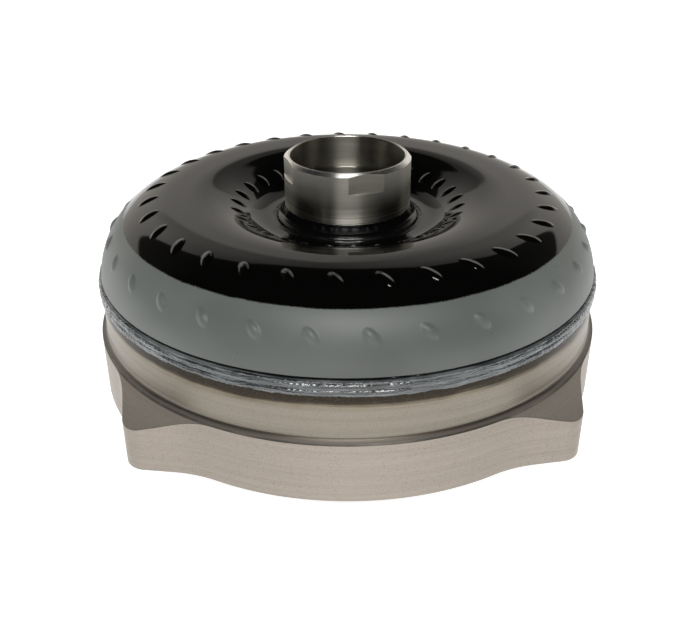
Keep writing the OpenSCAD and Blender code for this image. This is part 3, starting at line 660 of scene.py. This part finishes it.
def drill(piece):
    """Cuts the four bolt holes, each with a countersunk mouth, and keeps the result as plain mesh."""
    sides = 48
    rings, faces, start = [], [], 0
    turns = np.linspace(0, 2 * np.pi, sides, endpoint=False)
    for a in lobe_angles():
        x, y = BOLT_CIRCLE_R * math.cos(a), BOLT_CIRCLE_R * math.sin(a)
        for r, z in ((BOLT_R + 1.3, -0.5), (BOLT_R + 0.8, 0.0), (BOLT_R, 0.8), (BOLT_R, BOLT_DEPTH)):
            rings.append(np.column_stack([x + r * np.cos(turns), y + r * np.sin(turns), np.full(sides, z)]))
        faces += [tuple(start + v for v in f) for f in ring_faces(4, sides, closed_rows=False)]
        faces.append(tuple(start + v for v in range(sides - 1, -1, -1)))
        faces.append(tuple(start + 3 * sides + v for v in range(sides)))
        start += 4 * sides
    mesh = bpy.data.meshes.new("drills")
    mesh.from_pydata([tuple(p) for p in np.concatenate(rings) * MM], [], faces)
    drills = bpy.data.objects.new("drills", mesh)
    SCENE.collection.objects.link(drills)
    cut = piece.modifiers.new("holes", "BOOLEAN")
    cut.operation = "DIFFERENCE"
    cut.solver = "EXACT"
    cut.object = drills
    bpy.context.view_layer.update()
    drilled = bpy.data.meshes.new_from_object(piece.evaluated_get(bpy.context.evaluated_depsgraph_get()))
    piece.modifiers.clear()
    piece.data = drilled
    piece.data.set_sharp_from_angle(angle=math.radians(30))
    bpy.data.objects.remove(drills)
    return piece


# Damper springs: true coils where the CAD has faceted ones
SPRINGS = 6
SPRING_PITCH_R, SPRING_Z, SPRING_LENGTH = 88.0, 27.25, 44.0
COIL_R, WIRE_R, COILS = 4.3, 1.15, 8


def make_springs():
    """Six helical coils, lying along the tangent in the damper's windows."""
    steps, sides = COILS * 26, 10
    turn = np.linspace(0, COILS * 2 * np.pi, steps + 1)
    around = np.linspace(0, 2 * np.pi, sides, endpoint=False)
    y = (turn / turn[-1] - 0.5) * (SPRING_LENGTH - 2 * WIRE_R)
    r = COIL_R + WIRE_R * np.cos(around)[None, :]
    coil = np.stack([r * np.cos(turn)[:, None], y[:, None] + WIRE_R * np.sin(around)[None, :],
                     r * np.sin(turn)[:, None]], 2).reshape(-1, 3)
    tube = []
    for i in range(steps):
        a, b = i * sides, (i + 1) * sides
        tube += [(a + j, b + j, b + (j + 1) % sides, a + (j + 1) % sides) for j in range(sides)]
    tube.append(tuple(range(sides)))
    tube.append(tuple(range((steps + 1) * sides - 1, steps * sides - 1, -1)))
    points, faces = [], []
    for i in range(SPRINGS):
        a = math.radians(360 / SPRINGS * (i + 0.5))
        x, yy = coil[:, 0] + SPRING_PITCH_R, coil[:, 1]
        points.append(np.stack([x * math.cos(a) - yy * math.sin(a), x * math.sin(a) + yy * math.cos(a),
                                coil[:, 2] + SPRING_Z], 1))
        faces += [tuple(v + i * len(coil) for v in f) for f in tube]
    return add_piece("damper_coils", np.concatenate(points), faces, "spring_steel", "damper",
                     "damper_springs", 60)


make_shell()
make_closure_weld()
make_hub_weld()
make_cover()
make_springs()

# ------------------------------------------------------- floor and lighting

FLOOR_Z = -12 * MM
FLOOR_HALF = 9.0
# The paper glows a little less near the object, where its shadow falls
FLOOR_GLOW, FLOOR_GLOW_FAR = 0.93, 1.0
GLOW_FROM_R, GLOW_FAR_R = 0.7, 2.5


def floor_paper():
    """White paper that glows on its top side and is clear from below, so the underside can be seen."""
    g = Graph("floor_paper")
    fibre = g.noise(g.scaled(30, 30, 30), 1, 2)
    glow = g.span(g.r, GLOW_FROM_R, GLOW_FAR_R, FLOOR_GLOW, FLOOR_GLOW_FAR)
    g.set(base_color=g.mix(fibre, (0.44, 0.44, 0.44), (0.47, 0.47, 0.47)), roughness=0.9,
          emission_color=(1.0, 1.0, 1.0), emission_strength=glow)
    geometry = g.tree.nodes.new("ShaderNodeNewGeometry")
    clear = g.tree.nodes.new("ShaderNodeBsdfTransparent")
    sides = g.tree.nodes.new("ShaderNodeMixShader")
    g.link(geometry.outputs["Backfacing"], sides.inputs[0])
    g.link(g.shader.outputs[0], sides.inputs[1])
    g.link(clear.outputs[0], sides.inputs[2])
    g.link(sides.outputs[0], g.tree.nodes["Material Output"].inputs["Surface"])
    return g.material


floor_mesh = bpy.data.meshes.new("floor")
corners = [(x * FLOOR_HALF, y * FLOOR_HALF, FLOOR_Z) for x, y in ((-1, -1), (1, -1), (1, 1), (-1, 1))]
floor_mesh.from_pydata(corners, [], [(0, 1, 2, 3)])
floor_mesh.materials.append(floor_paper())
floor = bpy.data.objects.new("floor", floor_mesh)
SCENE.collection.objects.link(floor)

# Strengths of the studio's dim sides; the gap is a dark slot beside the front softbox
FRONT_WALL, SIDE_WALL, CEILING = 0.55, 0.035, 0.0
GAP_AT, GAP_HALF = math.radians(-31), math.radians(6)
WARM_WHITE = (1.0, 0.945, 0.875, 1)
PURE_WHITE = (1.0, 1.0, 1.0, 1)
world = bpy.data.worlds.new("studio")
SCENE.world = world
world.use_nodes = True


def light_studio(tree):
    """A white wall behind the object, dimmer ones in front, a dark ceiling, and pure white to the camera."""
    def add(kind, **settings):
        node = tree.nodes.new(kind)
        for name, value in settings.items():
            setattr(node, name, value)
        return node

    def feed(sockets, values):
        for socket, v in zip(sockets, values):
            if isinstance(v, float):
                socket.default_value = v
            else:
                tree.links.new(v, socket)

    def fade(value, low, high, to_low, to_high):
        node = add("ShaderNodeMapRange", interpolation_type="SMOOTHSTEP")
        feed(node.inputs, (value, low, high, to_low, to_high))
        return node.outputs[0]

    def maths(operation, a, b=0.0):
        node = add("ShaderNodeMath", operation=operation)
        feed(node.inputs, (a, b))
        return node.outputs[0]

    # x, y and z are those of the direction looked in: z is 0 at the horizon, 1 straight up
    direction = add("ShaderNodeSeparateXYZ")
    tree.links.new(add("ShaderNodeTexCoord").outputs["Generated"], direction.inputs[0])
    x, y, z = direction.outputs
    across = maths("ABSOLUTE", x)
    # behind: a white wall, brighter towards its sides, with a dimmer strip above it
    wall = maths("ADD", 0.53, maths("MULTIPLY", maths("MINIMUM", across, 0.36), 0.6))
    strip_at = maths("SUBTRACT", 0.437, maths("MULTIPLY", across, 0.22))
    strip = maths("MULTIPLY", maths("MINIMUM", maths("ADD", 0.33, maths("MULTIPLY", across, 1.7)), 1.0),
                  fade(z, 0.43, 0.66, 1.0, 0.6))
    wall = maths("MULTIPLY", wall, fade(maths("SUBTRACT", z, strip_at), -0.006, 0.006, 1.0, strip))
    # the strip's top is highest a little to each side, and low at the far sides
    top = maths("ADD", fade(across, 0.05, 0.2, 0.56, 0.66), fade(across, 0.34, 0.62, 0.0, -0.30))
    below_top = fade(maths("SUBTRACT", z, top), -0.012, 0.02, 1.0, 0.0)
    wall = maths("MULTIPLY", wall, maths("MAXIMUM", below_top, fade(z, 0.6, 0.85, 0.06, 0.0)))
    # in front: dim, dark above, with the gap
    turn = maths("ARCTAN2", x, maths("MULTIPLY", y, -1.0))
    low = fade(maths("ABSOLUTE", turn), 0.35, 1.1, FRONT_WALL, SIDE_WALL)
    front = fade(z, 0.5, 0.6, low, CEILING)
    from_gap = maths("ABSOLUTE", maths("SUBTRACT", turn, GAP_AT))
    front = maths("MULTIPLY", front, fade(from_gap, GAP_HALF * 0.6, GAP_HALF, 0.0, 1.0))

    camera_sees = add("ShaderNodeLightPath").outputs["Is Camera Ray"]
    strength = add("ShaderNodeMix")
    feed([strength.inputs[i] for i in (0, 2, 3)], (camera_sees, fade(y, 0.15, 0.45, front, wall), 1.0))
    tint = add("ShaderNodeMix", data_type="RGBA")
    tree.links.new(camera_sees, tint.inputs[0])
    tint.inputs[6].default_value = WARM_WHITE
    tint.inputs[7].default_value = PURE_WHITE
    background = tree.nodes["Background"]
    tree.links.new(tint.outputs[2], background.inputs["Color"])
    tree.links.new(strength.outputs[0], background.inputs["Strength"])


light_studio(world.node_tree)


def softbox(name, at, towards, size, power, mirrored=True):
    """A rectangular lamp. Reflections don't show it unless it is mirrored."""
    light = bpy.data.lights.new(name, "AREA")
    light.shape = "RECTANGLE"
    light.size, light.size_y = size
    light.energy = power
    lamp = bpy.data.objects.new(name, light)
    lamp.location = at
    lamp.rotation_euler = (Vector(towards) - Vector(at)).to_track_quat("-Z", "Y").to_euler()
    lamp.visible_glossy = mirrored
    SCENE.collection.objects.link(lamp)


softbox("front_softbox", (-0.14, -1.00, 1.35), (0, 0, 0.06), (0.57, 0.45), 10)
softbox("front_right_softbox", (0.30, -1.00, 1.35), (0, 0, 0.06), (0.32, 0.45), 5)
softbox("left_softbox", (-1.35, -0.25, 0.80), (0, 0, 0.05), (0.4, 0.7), 17, False)
softbox("right_softbox", (1.35, -0.25, 0.80), (0, 0, 0.05), (0.4, 0.7), 15, False)

SCENE.view_settings.view_transform = "Standard"
SCENE.view_settings.look = "None"
